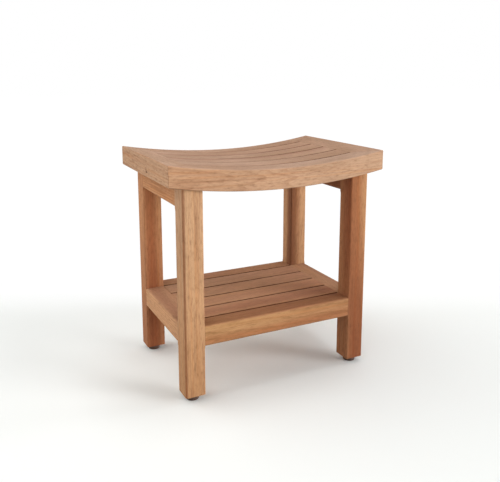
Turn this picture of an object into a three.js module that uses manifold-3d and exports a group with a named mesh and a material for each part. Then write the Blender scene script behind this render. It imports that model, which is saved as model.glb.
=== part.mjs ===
// Slatted teak shower stool with a dished seat and a low shelf, in millimetres.
// X runs along the length, Y from front to back and Z up. The origin is on the floor under the middle.
import * as THREE from 'three';
import { mergeVertices } from 'three/addons/utils/BufferGeometryUtils.js';
import Module from 'manifold-3d';

const wasm = await Module();
wasm.setup();

// Overall size
const SEAT_LENGTH = 457;
const SEAT_DEPTH = 300;
const SEAT_HEIGHT = 457;
const SEAT_DIP = 20.6;
const SEAT_THICKNESS = 40;

// Strips of the seat and the shelf
const SLAT_GAP = 4;
const STRIP_COUNT = 6;
const STRIP_WIDTH = (SEAT_DEPTH - (STRIP_COUNT - 1) * SLAT_GAP) / STRIP_COUNT;
const STRIP_PITCH = STRIP_WIDTH + SLAT_GAP;
const SLAT_COUNT = 4;
const SLAT_THICKNESS = 20;
const SLAT_EDGE_RADIUS = 2;
const TONGUE_LENGTH = 8;
const TONGUE_THICKNESS = 8;

// Legs
const LEG_WIDTH = 40;
const LEG_EDGE_RADIUS = 6;
const LEG_X = 180.5;
const LEG_Y = 120;
const LEG_BOTTOM = 12;

// Rails
const SIDE_RAIL_BOTTOM = 372;
const RAIL_EDGE_RADIUS = 4;
const SHELF_TOP = 149;
const SHELF_THICKNESS = 40;
const TENON_HEIGHT = 24;
const TENON_THICKNESS = 12;
const SHELF_RAIL_TENON_THICKNESS = 10;
const SIDE_TENON_LENGTH = 14;
const SHELF_END_TENON_LENGTH = 13;
const SHELF_RAIL_TENON_LENGTH = 15;

// Seat frame
const SEAT_EDGE_RADIUS = 2;
const TOP_STATIONS = 14;
const SPLINE_LENGTH = 28;
const SPLINE_WIDTH = 22;
const SPLINE_THICKNESS = 8;
const DOWEL_RADIUS = 4;
const DOWEL_LENGTH = 40;
const DOWEL_OUTSET = 2;

// Levelling feet
const PAD_RADIUS = 12.5;
const PAD_HEIGHT = 11.7;
const PAD_LOWER_RADIUS = 2.5;
const PAD_UPPER_RADIUS = 1;
const PAD_SOCKET_DEPTH = 6.5;
const STUD_RADIUS = 4;
const STUD_CHAMFER = 0.8;
const STUD_TOP = 36;
const INSERT_RADIUS = 6;
const INSERT_TOP = 32.4;
const FOOT_HOLE_TOP = 37.5;

// Clearances and rounding
const JOINT_GAP = 0.3;
const ARC_STEPS = 4;
const ROUND_STEPS = 20;

const WOOD_LEGS = 0xb98457;
const WOOD_RAILS = 0xb27c54;
const WOOD_SEAT = 0xbc9272;
const WOOD_SHELF = 0xa8765a;
const WOOD_JOINERY = 0xc79a6c;
const PLASTIC_DARK = 0x3a2a1e;
const STEEL = 0xa9abad;
const BRASS = 0xb59a55;

const stripEdge = SEAT_DEPTH / 2 - STRIP_WIDTH;
const seatInnerX = SEAT_LENGTH / 2 - STRIP_WIDTH;
const legInnerX = LEG_X - LEG_WIDTH / 2;
const legOuterX = LEG_X + LEG_WIDTH / 2;
const legInnerY = LEG_Y - LEG_WIDTH / 2;
const legOuterY = LEG_Y + LEG_WIDTH / 2;
const dipRadius = (SEAT_LENGTH ** 2 / 4 + SEAT_DIP ** 2) / (2 * SEAT_DIP);

// Height of the dished seat surface at a distance along the length.
function seatTop(x) {
  return SEAT_HEIGHT - SEAT_DIP + dipRadius - Math.sqrt(dipRadius ** 2 - x ** 2);
}

function seatUnderside(x) {
  return seatTop(x) - SEAT_THICKNESS;
}

function evenSteps(from, to, count) {
  return Array.from({ length: count + 1 }, (_, i) => from + ((to - from) * i) / count);
}

// Rectangle outline, counterclockwise, with a radius for each of its corners:
// low-low, high-low, high-high and low-high.
function roundedOutline(u0, u1, v0, v1, radii) {
  const corners = [[u0, v0, Math.PI], [u1, v0, 1.5 * Math.PI], [u1, v1, 0], [u0, v1, 0.5 * Math.PI]];
  const points = [];
  corners.forEach(([u, v, start], corner) => {
    const r = radii[corner];
    const centreU = u === u0 ? u + r : u - r;
    const centreV = v === v0 ? v + r : v - r;
    const steps = r > 0 ? ARC_STEPS : 0;
    for (let i = 0; i <= steps; i += 1) {
      const angle = start + (steps ? (i / steps) * 0.5 * Math.PI : 0);
      points.push(new THREE.Vector2(centreU + r * Math.cos(angle), centreV + r * Math.sin(angle)));
    }
  });
  return points;
}

function signedVolume(positions, index) {
  const a = new THREE.Vector3();
  const b = new THREE.Vector3();
  const c = new THREE.Vector3();
  let volume = 0;
  for (let i = 0; i < index.length; i += 3) {
    a.fromArray(positions, 3 * index[i]);
    b.fromArray(positions, 3 * index[i + 1]);
    c.fromArray(positions, 3 * index[i + 2]);
    volume += a.dot(b.cross(c));
  }
  return volume;
}

// Closed body made by carrying an outline through the stations, capped at both ends.
function loft(outline, stations, place) {
  const count = outline.length;
  const positions = stations.flatMap((t) => outline.flatMap((p) => place(p, t)));
  const index = [];
  for (let s = 0; s + 1 < stations.length; s += 1) {
    for (let i = 0; i < count; i += 1) {
      const a = s * count + i;
      const b = s * count + ((i + 1) % count);
      index.push(a, b, b + count, a, b + count, a + count);
    }
  }
  const last = (stations.length - 1) * count;
  THREE.ShapeUtils.triangulateShape(outline, []).forEach(([a, b, c]) => {
    index.push(c, b, a, last + a, last + b, last + c);
  });
  if (signedVolume(positions, index) < 0) index.reverse();
  const geometry = new THREE.BufferGeometry();
  geometry.setAttribute('position', new THREE.Float32BufferAttribute(positions, 3));
  geometry.setIndex(index);
  return geometry;
}

function toSolid(geometry) {
  const plain = geometry.clone();
  plain.deleteAttribute('normal');
  plain.deleteAttribute('uv');
  const merged = mergeVertices(plain, 1e-4);
  return new wasm.Manifold(new wasm.Mesh({
    numProp: 3,
    vertProperties: new Float32Array(merged.attributes.position.array),
    triVerts: new Uint32Array(merged.index.array),
  }));
}

function toGeometry(solid) {
  const mesh = solid.getMesh();
  const geometry = new THREE.BufferGeometry();
  geometry.setAttribute('position', new THREE.BufferAttribute(mesh.vertProperties, 3));
  geometry.setIndex(new THREE.BufferAttribute(mesh.triVerts, 1));
  geometry.computeVertexNormals();
  return geometry;
}

// Geometry joined with every piece of added and cleared of every piece of removed.
function carve(geometry, added, removed) {
  let solid = toSolid(geometry);
  added.forEach((piece) => {
    solid = solid.add(toSolid(piece));
  });
  removed.forEach((piece) => {
    solid = solid.subtract(toSolid(piece));
  });
  return toGeometry(solid);
}

// Box between two corners, given in any order.
function boxBetween(x0, x1, y0, y1, z0, z1) {
  const box = new THREE.BoxGeometry(Math.abs(x1 - x0), Math.abs(y1 - y0), Math.abs(z1 - z0));
  return box.translate((x0 + x1) / 2, (y0 + y1) / 2, (z0 + z1) / 2);
}

function uprightCylinder(radius, x, y, z0, z1) {
  const cylinder = new THREE.CylinderGeometry(radius, radius, z1 - z0, ROUND_STEPS);
  return cylinder.rotateX(Math.PI / 2).translate(x, y, (z0 + z1) / 2);
}

const stool = new THREE.Group();

function addPiece(name, geometry, color, roughness, metalness = 0) {
  const mesh = new THREE.Mesh(geometry, new THREE.MeshStandardMaterial({ color, roughness, metalness }));
  mesh.name = name;
  stool.add(mesh);
}

// ---------------------------------------------------------------- seat

// Board that follows the dip along X, between two Y edges and two depths below the surface.
function dishedBoard(y0, y1, depthLow, depthHigh, radii, halfLength) {
  return loft(
    roundedOutline(y0, y1, depthLow, depthHigh, radii),
    evenSteps(-1, 1, TOP_STATIONS),
    (p, t) => {
      const x = t * halfLength(p.x);
      return [x, p.x, seatTop(x) + p.y];
    },
  );
}

// Loose spline across a mitred corner, or its socket when grown by a clearance.
function splineBody(sideX, sideY, clearance) {
  const middle = STRIP_WIDTH / 2;
  const x = sideX * (SEAT_LENGTH / 2 - middle);
  const y = sideY * (SEAT_DEPTH / 2 - middle);
  const box = new THREE.BoxGeometry(
    SPLINE_LENGTH + 2 * clearance,
    SPLINE_WIDTH + 2 * clearance,
    SPLINE_THICKNESS + 2 * clearance,
  );
  box.rotateZ(-sideX * sideY * (Math.PI / 4));
  return box.translate(x, y, seatTop(x) - SEAT_THICKNESS / 2);
}

function dowelBody(sideX, sideY, clearance) {
  const middle = seatUnderside(LEG_X) - JOINT_GAP / 2;
  return uprightCylinder(
    DOWEL_RADIUS + clearance,
    sideX * LEG_X,
    sideY * (LEG_Y + DOWEL_OUTSET),
    middle - DOWEL_LENGTH / 2 - clearance,
    middle + DOWEL_LENGTH / 2 + clearance,
  );
}

function seatRail(sideY) {
  const outer = (sideY * SEAT_DEPTH) / 2;
  const inner = sideY * stripEdge;
  const r = SEAT_EDGE_RADIUS;
  const body = dishedBoard(
    Math.min(outer, inner),
    Math.max(outer, inner),
    -SEAT_THICKNESS,
    0,
    sideY < 0 ? [r, SLAT_EDGE_RADIUS, SLAT_EDGE_RADIUS, r] : [SLAT_EDGE_RADIUS, r, r, SLAT_EDGE_RADIUS],
    (y) => SEAT_LENGTH / 2 - Math.abs(outer - y) - JOINT_GAP / 2,
  );
  const sockets = [-1, 1].flatMap((sideX) => [
    splineBody(sideX, sideY, JOINT_GAP),
    dowelBody(sideX, sideY, JOINT_GAP),
  ]);
  return carve(body, [], sockets);
}

function seatTongue(strip, clearance) {
  const y = stripCentre(strip);
  const half = STRIP_WIDTH / 2 + clearance;
  const middle = -SLAT_THICKNESS / 2;
  const reach = seatInnerX + TONGUE_LENGTH + clearance;
  return dishedBoard(
    y - half,
    y + half,
    middle - TONGUE_THICKNESS / 2 - clearance,
    middle + TONGUE_THICKNESS / 2 + clearance,
    [0, 0, 0, 0],
    () => reach,
  );
}

function seatEnd(sideX) {
  const outer = (sideX * SEAT_LENGTH) / 2;
  const inner = sideX * seatInnerX;
  const r = SEAT_EDGE_RADIUS;
  const outline = roundedOutline(
    Math.min(outer, inner),
    Math.max(outer, inner),
    -SEAT_THICKNESS,
    0,
    sideX < 0 ? [r, 0, 0, r] : [0, r, r, 0],
  );
  const body = loft(outline, [-1, 1], (p, t) => [
    p.x,
    t * (SEAT_DEPTH / 2 - Math.abs(outer - p.x) - JOINT_GAP / 2),
    seatTop(p.x) + p.y,
  ]);
  const sockets = [-1, 1].map((sideY) => splineBody(sideX, sideY, JOINT_GAP));
  const grooves = slatStrips().map((strip) => seatTongue(strip, JOINT_GAP));
  return carve(body, [], [...sockets, ...grooves]);
}

// Strips are counted from the front; the first and the last are the frame's own rails.
function stripCentre(strip) {
  return -SEAT_DEPTH / 2 + STRIP_WIDTH / 2 + strip * STRIP_PITCH;
}

function slatStrips() {
  return Array.from({ length: SLAT_COUNT }, (_, i) => i + 1);
}

function seatSlat(strip) {
  const y = stripCentre(strip);
  const r = SLAT_EDGE_RADIUS;
  const body = dishedBoard(
    y - STRIP_WIDTH / 2,
    y + STRIP_WIDTH / 2,
    -SLAT_THICKNESS,
    0,
    [r, r, r, r],
    () => seatInnerX - JOINT_GAP,
  );
  return carve(body, [seatTongue(strip, 0)], []);
}

// ---------------------------------------------------------------- shelf

function shelfTongue(strip, clearance) {
  const y = stripCentre(strip);
  const half = STRIP_WIDTH / 2 + clearance;
  const z = SHELF_TOP - SLAT_THICKNESS / 2;
  const reach = legInnerX + TONGUE_LENGTH + clearance;
  const rise = TONGUE_THICKNESS / 2 + clearance;
  return boxBetween(-reach, reach, y - half, y + half, z - rise, z + rise);
}

function shelfSlat(strip) {
  const y = stripCentre(strip);
  const r = SLAT_EDGE_RADIUS;
  const outline = roundedOutline(
    y - STRIP_WIDTH / 2,
    y + STRIP_WIDTH / 2,
    SHELF_TOP - SLAT_THICKNESS,
    SHELF_TOP,
    [r, r, r, r],
  );
  const reach = legInnerX - JOINT_GAP;
  const body = loft(outline, [-reach, reach], (p, t) => [t, p.x, p.y]);
  return carve(body, [shelfTongue(strip, 0)], []);
}

function shelfRailTenon(sideX, sideY, clearance) {
  const y = (sideY * (legOuterY + stripEdge)) / 2;
  const z = SHELF_TOP - SHELF_THICKNESS / 2;
  const half = SHELF_RAIL_TENON_THICKNESS / 2 + clearance;
  const rise = TENON_HEIGHT / 2 + clearance;
  return boxBetween(
    sideX * (legInnerX - 1),
    sideX * (legInnerX + SHELF_RAIL_TENON_LENGTH + clearance),
    y - half,
    y + half,
    z - rise,
    z + rise,
  );
}

function shelfRail(sideY) {
  const outer = sideY * legOuterY;
  const inner = sideY * stripEdge;
  const r = RAIL_EDGE_RADIUS;
  const outline = roundedOutline(
    Math.min(outer, inner),
    Math.max(outer, inner),
    SHELF_TOP - SHELF_THICKNESS,
    SHELF_TOP,
    sideY < 0 ? [r, SLAT_EDGE_RADIUS, SLAT_EDGE_RADIUS, r] : [SLAT_EDGE_RADIUS, r, r, SLAT_EDGE_RADIUS],
  );
  const reach = legInnerX - JOINT_GAP;
  const body = loft(outline, [-reach, reach], (p, t) => [t, p.x, p.y]);
  return carve(body, [-1, 1].map((sideX) => shelfRailTenon(sideX, sideY, 0)), []);
}

// Tenon that runs along Y from a side member into a leg, or its mortise when grown by a clearance.
function sideTenon(sideX, sideY, middleZ, length, clearance) {
  const half = TENON_THICKNESS / 2 + clearance;
  const rise = TENON_HEIGHT / 2 + clearance;
  return boxBetween(
    sideX * LEG_X - half,
    sideX * LEG_X + half,
    sideY * (legInnerY - 1),
    sideY * (legInnerY + length + clearance),
    middleZ - rise,
    middleZ + rise,
  );
}

const shelfMiddleZ = SHELF_TOP - SHELF_THICKNESS / 2;
const sideRailMiddleZ = (SIDE_RAIL_BOTTOM + seatUnderside(legInnerX)) / 2;

function shelfEnd(sideX) {
  const r = RAIL_EDGE_RADIUS;
  const outline = roundedOutline(
    sideX * LEG_X - LEG_WIDTH / 2,
    sideX * LEG_X + LEG_WIDTH / 2,
    SHELF_TOP - SHELF_THICKNESS,
    SHELF_TOP,
    sideX < 0 ? [r, 0, 0, r] : [0, r, r, 0],
  );
  const reach = legInnerY - JOINT_GAP;
  const body = loft(outline, [-reach, reach], (p, t) => [p.x, t, p.y]);
  const tenons = [-1, 1].map((sideY) => sideTenon(sideX, sideY, shelfMiddleZ, SHELF_END_TENON_LENGTH, 0));
  return carve(body, tenons, slatStrips().map((strip) => shelfTongue(strip, JOINT_GAP)));
}

// ---------------------------------------------------------------- side frames

// Rail under each end of the seat: rounded below, and planed above to the seat's underside.
function sideRail(sideX) {
  const r = RAIL_EDGE_RADIUS;
  const nominalTop = SEAT_HEIGHT - SEAT_THICKNESS;
  const split = (SIDE_RAIL_BOTTOM + nominalTop) / 2;
  const outline = roundedOutline(
    sideX * LEG_X - LEG_WIDTH / 2,
    sideX * LEG_X + LEG_WIDTH / 2,
    SIDE_RAIL_BOTTOM,
    nominalTop,
    [r, r, 0, 0],
  );
  const reach = legInnerY - JOINT_GAP;
  const body = loft(outline, [-reach, reach], (p, t) => [
    p.x,
    t,
    p.y > split ? seatUnderside(p.x) - JOINT_GAP : p.y,
  ]);
  return carve(body, [-1, 1].map((sideY) => sideTenon(sideX, sideY, sideRailMiddleZ, SIDE_TENON_LENGTH, 0)), []);
}

function leg(sideX, sideY) {
  const r = LEG_EDGE_RADIUS;
  const half = LEG_WIDTH / 2;
  const x = sideX * LEG_X;
  const y = sideY * LEG_Y;
  const outline = roundedOutline(x - half, x + half, y - half, y + half, [r, r, r, r]);
  const body = loft(outline, [0, 1], (p, t) => [
    p.x,
    p.y,
    t ? seatUnderside(p.x) - JOINT_GAP : LEG_BOTTOM,
  ]);
  return carve(body, [], [
    sideTenon(sideX, sideY, sideRailMiddleZ, SIDE_TENON_LENGTH, JOINT_GAP),
    sideTenon(sideX, sideY, shelfMiddleZ, SHELF_END_TENON_LENGTH, JOINT_GAP),
    shelfRailTenon(sideX, sideY, JOINT_GAP),
    dowelBody(sideX, sideY, JOINT_GAP),
    uprightCylinder(INSERT_RADIUS + JOINT_GAP, x, y, LEG_BOTTOM - 1, FOOT_HOLE_TOP),
  ]);
}

// ---------------------------------------------------------------- feet

function turned(profile, x, y) {
  const points = profile.map(([radius, height]) => new THREE.Vector2(radius, height));
  return toGeometry(toSolid(new THREE.LatheGeometry(points, ROUND_STEPS))).rotateX(Math.PI / 2).translate(x, y, 0);
}

function quarterRound(centreRadius, centreHeight, r, start) {
  return evenSteps(start, start + Math.PI / 2, ARC_STEPS).map((angle) => [
    centreRadius + r * Math.cos(angle),
    centreHeight + r * Math.sin(angle),
  ]);
}

function footPad(x, y) {
  const lower = quarterRound(PAD_RADIUS - PAD_LOWER_RADIUS, PAD_LOWER_RADIUS, PAD_LOWER_RADIUS, -Math.PI / 2);
  const upper = quarterRound(PAD_RADIUS - PAD_UPPER_RADIUS, PAD_HEIGHT - PAD_UPPER_RADIUS, PAD_UPPER_RADIUS, 0);
  const socket = STUD_RADIUS + JOINT_GAP;
  return turned([
    [0, 0],
    ...lower,
    ...upper,
    [socket, PAD_HEIGHT],
    [socket, PAD_HEIGHT - PAD_SOCKET_DEPTH],
    [0, PAD_HEIGHT - PAD_SOCKET_DEPTH],
  ], x, y);
}

function footStud(x, y) {
  const bottom = PAD_HEIGHT - PAD_SOCKET_DEPTH + JOINT_GAP;
  return turned([
    [0, bottom],
    [STUD_RADIUS - STUD_CHAMFER, bottom],
    [STUD_RADIUS, bottom + STUD_CHAMFER],
    [STUD_RADIUS, STUD_TOP - STUD_CHAMFER],
    [STUD_RADIUS - STUD_CHAMFER, STUD_TOP],
    [0, STUD_TOP],
  ], x, y);
}

function footInsert(x, y) {
  const bore = STUD_RADIUS + JOINT_GAP;
  return turned([
    [bore, LEG_BOTTOM + JOINT_GAP],
    [INSERT_RADIUS, LEG_BOTTOM + JOINT_GAP],
    [INSERT_RADIUS, INSERT_TOP],
    [bore, INSERT_TOP],
    [bore, LEG_BOTTOM + JOINT_GAP],
  ], x, y);
}

// ---------------------------------------------------------------- assembly

const sides = [['left', -1], ['right', 1]];
const ends = [['front', -1], ['back', 1]];

ends.forEach(([endName, sideY]) => {
  addPiece(`seat_rail_${endName}`, seatRail(sideY), WOOD_SEAT, 0.55);
  addPiece(`shelf_rail_${endName}`, shelfRail(sideY), WOOD_RAILS, 0.5);
});

sides.forEach(([sideName, sideX]) => {
  addPiece(`seat_end_${sideName}`, seatEnd(sideX), WOOD_SEAT, 0.55);
  addPiece(`shelf_end_${sideName}`, shelfEnd(sideX), WOOD_SHELF, 0.5);
  addPiece(`side_rail_${sideName}`, sideRail(sideX), WOOD_RAILS, 0.5);
});

slatStrips().forEach((strip) => {
  addPiece(`seat_slat_${strip}`, seatSlat(strip), WOOD_SEAT, 0.55);
  addPiece(`shelf_slat_${strip}`, shelfSlat(strip), WOOD_SHELF, 0.5);
});

ends.forEach(([endName, sideY]) => {
  sides.forEach(([sideName, sideX]) => {
    const corner = `${endName}_${sideName}`;
    const x = sideX * LEG_X;
    const y = sideY * LEG_Y;
    addPiece(`leg_${corner}`, leg(sideX, sideY), WOOD_LEGS, 0.5);
    addPiece(`corner_spline_${corner}`, splineBody(sideX, sideY, 0), WOOD_JOINERY, 0.6);
    addPiece(`leg_dowel_${corner}`, dowelBody(sideX, sideY, 0), WOOD_JOINERY, 0.6);
    addPiece(`foot_insert_${corner}`, footInsert(x, y), BRASS, 0.4, 1);
    addPiece(`foot_pad_${corner}`, footPad(x, y), PLASTIC_DARK, 0.6);
    addPiece(`foot_stud_${corner}`, footStud(x, y), STEEL, 0.35, 1);
  });
});

export default stool;
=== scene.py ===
"""Looks of the slatted teak shower stool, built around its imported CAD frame. Metres, +Z up."""

import math
import random

import bmesh
import bpy
import numpy as np
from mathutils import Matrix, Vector


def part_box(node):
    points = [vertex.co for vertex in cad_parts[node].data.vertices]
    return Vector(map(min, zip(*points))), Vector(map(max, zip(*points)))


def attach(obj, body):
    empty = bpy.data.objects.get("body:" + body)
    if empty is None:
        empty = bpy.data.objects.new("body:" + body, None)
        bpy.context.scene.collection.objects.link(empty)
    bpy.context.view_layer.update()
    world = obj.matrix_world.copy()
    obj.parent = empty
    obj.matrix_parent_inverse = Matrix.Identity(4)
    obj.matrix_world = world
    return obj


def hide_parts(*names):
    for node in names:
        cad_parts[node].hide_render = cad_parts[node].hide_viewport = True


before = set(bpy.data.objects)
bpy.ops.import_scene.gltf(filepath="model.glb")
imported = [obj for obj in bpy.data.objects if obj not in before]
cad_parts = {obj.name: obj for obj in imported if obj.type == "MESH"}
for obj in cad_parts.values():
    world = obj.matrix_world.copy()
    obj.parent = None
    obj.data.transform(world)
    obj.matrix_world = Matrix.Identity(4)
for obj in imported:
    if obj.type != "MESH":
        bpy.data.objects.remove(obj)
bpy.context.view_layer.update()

MM = 0.001
ROOT = "stool_frame"
SIDES = (("left", -1), ("right", 1))
ENDS = (("front", -1), ("back", 1))
CORNERS = [(f"{e}_{s}", sx, sy) for e, sy in ENDS for s, sx in SIDES]
SLATS = (1, 2, 3, 4)

# ------------------------------------------------------------------ camera

# Turned right from +Y and pitched down in degrees; the lens is in mm.
CAMERA_AT = (-0.56049, -1.13776, 0.62311)
CAMERA_TURN = 26.288
CAMERA_PITCH = 10.557
CAMERA_LENS = 44.293
CAMERA_SHIFT_Y = -0.12


def make_camera():
    data = bpy.data.cameras.new("camera")
    data.sensor_width = 36.0
    data.sensor_fit = "HORIZONTAL"
    data.lens = CAMERA_LENS
    data.shift_y = CAMERA_SHIFT_Y
    data.clip_end = 50.0
    camera = bpy.data.objects.new("camera", data)
    camera.location = CAMERA_AT
    camera.rotation_euler = (math.radians(90.0 - CAMERA_PITCH), 0.0, -math.radians(CAMERA_TURN))
    bpy.context.scene.collection.objects.link(camera)
    bpy.context.scene.camera = camera


make_camera()

# ------------------------------------------------------------------ measures from the CAD frame

front_rail_lo, front_rail_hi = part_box("seat_rail_front")
right_end_lo, right_end_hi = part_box("seat_end_right")
slat_lo, slat_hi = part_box("seat_slat_1")
leg_lo, leg_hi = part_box("leg_front_right")
side_rail_lo, side_rail_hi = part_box("side_rail_right")
shelf_rail_lo, shelf_rail_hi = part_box("shelf_rail_front")
shelf_slat_lo, shelf_slat_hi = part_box("shelf_slat_1")
shelf_end_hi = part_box("shelf_end_right")[1]
pad_lo, pad_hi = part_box("foot_pad_front_right")
stud_lo, stud_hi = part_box("foot_stud_front_right")
dowel_lo, dowel_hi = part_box("leg_dowel_front_right")
insert_lo, insert_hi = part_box("foot_insert_front_right")

GAP = 0.3 * MM
HALF_LENGTH = right_end_hi.x
HALF_DEPTH = -front_rail_lo.y
STRIP_WIDTH = front_rail_hi.y - front_rail_lo.y
STRIP_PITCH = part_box("seat_slat_2")[0].y - slat_lo.y
SEAT_INNER_X = right_end_lo.x
SEAT_THICKNESS = 40 * MM
SLAT_THICKNESS = shelf_slat_hi.z - shelf_slat_lo.z
SLAT_MIDDLE = -SLAT_THICKNESS / 2
TONGUE_THICKNESS = 8 * MM
SEAT_MIDDLE_TOP = front_rail_lo.z + SEAT_THICKNESS
SEAT_DIP = 20.6 * MM
DIP_RADIUS = (HALF_LENGTH**2 + SEAT_DIP**2) / (2 * SEAT_DIP)
LEG_X = (leg_lo.x + leg_hi.x) / 2
LEG_Y = -(leg_lo.y + leg_hi.y) / 2
LEG_HALF = (leg_hi.x - leg_lo.x) / 2
LEG_BOTTOM = leg_lo.z
LEG_INNER_X = leg_lo.x
LEG_INNER_Y = -leg_hi.y
SHELF_TOP = shelf_rail_hi.z
SHELF_BOTTOM = shelf_rail_lo.z
SHELF_MIDDLE = (SHELF_TOP + SHELF_BOTTOM) / 2
SHELF_INNER_Y = -shelf_rail_hi.y
SHELF_OUTER_Y = -shelf_rail_lo.y
SIDE_RAIL_BOTTOM = side_rail_lo.z
TENON_HEIGHT = 24 * MM
SIDE_TENON_HALF = 6 * MM
SHELF_TENON_HALF = 5 * MM
SPLINE_HALF = (14 * MM, 11 * MM, 4 * MM)
DOWEL_RADIUS = (dowel_hi.x - dowel_lo.x) / 2
DOWEL_Y = -(dowel_lo.y + dowel_hi.y) / 2
INSERT_RADIUS = (insert_hi.x - insert_lo.x) / 2
STUD_RADIUS = (stud_hi.x - stud_lo.x) / 2
STUD_HEADROOM = 1.5 * MM

# Radii of the long edges.
LEG_RADIUS = 5 * MM
LEG_SIDE_RADIUS = 3 * MM
RAIL_RADIUS = 4 * MM
SEAT_RADIUS = 2.2 * MM
SLAT_RADIUS = 1.5 * MM
SHELF_END_INNER_RADIUS = 0.8 * MM
FLUSH_RADIUS = 0.5 * MM
TENON_RADIUS = 0.5 * MM
LEAST_RADIUS = 0.15 * MM

# Easing of the ends, with one more section at this share of the way in.
EASE = 0.5 * MM
FLUSH_EASE = 0.15 * MM
TONGUE_EASE = 0.6 * MM
EASE_STEP = 0.3

# Points of an outline's corners and sides, and parts of a board's length.
ARC_STEPS = 6
SIDE_STEPS = 4
CURVED_STATIONS = 60
STRAIGHT_STATIONS = 12

# How a leg's edges turn square towards a flush board: (mm from the board, amount).
FLUSH_STEPS = ((-8, 0.0), (-6, 0.12), (-4, 0.5), (-2, 0.88), (0, 1.0))
FLUSH_REACH = 8 * MM
# Sections of the plain foot of a leg, and parts of its open length above the shelf.
LEG_STATION = 30 * MM
LEG_PARTS = 6

# How far a cutter starts outside the face that it cuts, and the sides of a round one.
PAST = 1 * MM
BORE_AROUND = 32


def seat_top(x):
    return SEAT_MIDDLE_TOP + DIP_RADIUS - math.sqrt(DIP_RADIUS**2 - x**2)


LEG_TOP = seat_top(LEG_X) - SEAT_THICKNESS - 2 * GAP
SIDE_RAIL_MIDDLE = (SIDE_RAIL_BOTTOM + LEG_TOP) / 2

# ------------------------------------------------------------------ mesh making


def outline(u0, u1, v0, v1, radii, inset=0.0):
    """Rounded rectangle, counterclockwise from its low-low corner, drawn in by inset."""
    u0, u1, v0, v1 = u0 + inset, u1 - inset, v0 + inset, v1 - inset
    corners = ((0, 0, math.pi), (1, 0, 1.5 * math.pi), (1, 1, 0.0), (0, 1, 0.5 * math.pi))
    arcs = []
    for (high_u, high_v, start), radius in zip(corners, radii):
        r = max(radius - inset, LEAST_RADIUS)
        cu = u1 - r if high_u else u0 + r
        cv = v1 - r if high_v else v0 + r
        angles = [start + 0.5 * math.pi * i / ARC_STEPS for i in range(ARC_STEPS + 1)]
        arcs.append([(cu + r * math.cos(a), cv + r * math.sin(a)) for a in angles])
    points = []
    for arc, following in zip(arcs, arcs[1:] + arcs[:1]):
        (a, b), (c, d) = arc[-1], following[0]
        shares = [i / SIDE_STEPS for i in range(1, SIDE_STEPS)]
        points += arc + [(a + (c - a) * s, b + (d - b) * s) for s in shares]
    return points


def board_radii(side, outer, inner):
    """Edge radii of a board, for outline; its outer face is the low-u one where side is -1."""
    return [outer, inner, inner, outer] if side < 0 else [inner, outer, outer, inner]


def loft(name, sections, place):
    """Closed mesh through (station, outline) pairs; all outlines have the same count of points."""
    mesh = bpy.data.meshes.new(name)
    verts = [place(p, station) for station, points in sections for p in points]
    count = len(sections[0][1])
    faces = []
    for s in range(len(sections) - 1):
        for i in range(count):
            a, b = s * count + i, s * count + (i + 1) % count
            faces.append((a, b, b + count, a + count))
    last = (len(sections) - 1) * count
    faces.append(tuple(reversed(range(count))))
    faces.append(tuple(range(last, last + count)))
    mesh.from_pydata(verts, [], faces)
    bm = bmesh.new()
    bm.from_mesh(mesh)
    bmesh.ops.recalc_face_normals(bm, faces=bm.faces)
    return object_from(bm, mesh)


def object_from(bm, mesh):
    """New object of the mesh, filled from bm, which is used up."""
    bm.to_mesh(mesh)
    bm.free()
    obj = bpy.data.objects.new(mesh.name, mesh)
    bpy.context.scene.collection.objects.link(obj)
    return obj


def shade_smooth(mesh, crease):
    """Smooth shading, except at edges sharper than crease degrees."""
    for polygon in mesh.polygons:
        polygon.use_smooth = True
    mesh.set_sharp_from_angle(angle=math.radians(crease))


def box_mesh(bm, x0, x1, y0, y1, z0, z1):
    """Adds a box to bm, whichever way round its limits are, and returns its vertices."""
    lo = Vector((min(x0, x1), min(y0, y1), min(z0, z1)))
    hi = Vector((max(x0, x1), max(y0, y1), max(z0, z1)))
    made = bmesh.ops.create_cube(bm, size=1.0)["verts"]
    for v in made:
        v.co = Vector([(lo[i] + hi[i]) / 2 + v.co[i] * (hi[i] - lo[i]) for i in range(3)])
    return made


def cylinder_mesh(bm, radius, x, y, z0, z1):
    """Adds an upright cylinder to bm."""
    made = bmesh.ops.create_cone(
        bm, cap_ends=True, segments=BORE_AROUND, radius1=radius, radius2=radius, depth=z1 - z0
    )
    for v in made["verts"]:
        v.co += Vector((x, y, (z0 + z1) / 2))


def carve(obj, draw):
    """Cuts from obj the shapes that draw(bm) adds."""
    bm = bmesh.new()
    draw(bm)
    bmesh.ops.recalc_face_normals(bm, faces=bm.faces)
    cutter = object_from(bm, bpy.data.meshes.new("cutter"))
    cut = obj.modifiers.new("cut", "BOOLEAN")
    cut.operation = "DIFFERENCE"
    cut.solver = "EXACT"
    cut.object = cutter
    graph = bpy.context.evaluated_depsgraph_get()
    result = bpy.data.meshes.new_from_object(obj.evaluated_get(graph))
    obj.modifiers.clear()
    obj.data = result
    bpy.data.objects.remove(cutter)


# ------------------------------------------------------------------ grain and wear of a board

# Painted shade: the sides of the boards at a gap are painted dark, from just under their top face
# to near the underside.
GAP_SHADE_TOP = 0.35 * MM
GAP_SHADE_ONSET = 0.25 * MM
GAP_SHADE_BOTTOM = 19.5 * MM
GAP_SHADE_FADE = 9 * MM
GAP_SHADE_REACH = 0.9 * MM

WOOD_CREASE = 40


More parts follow.
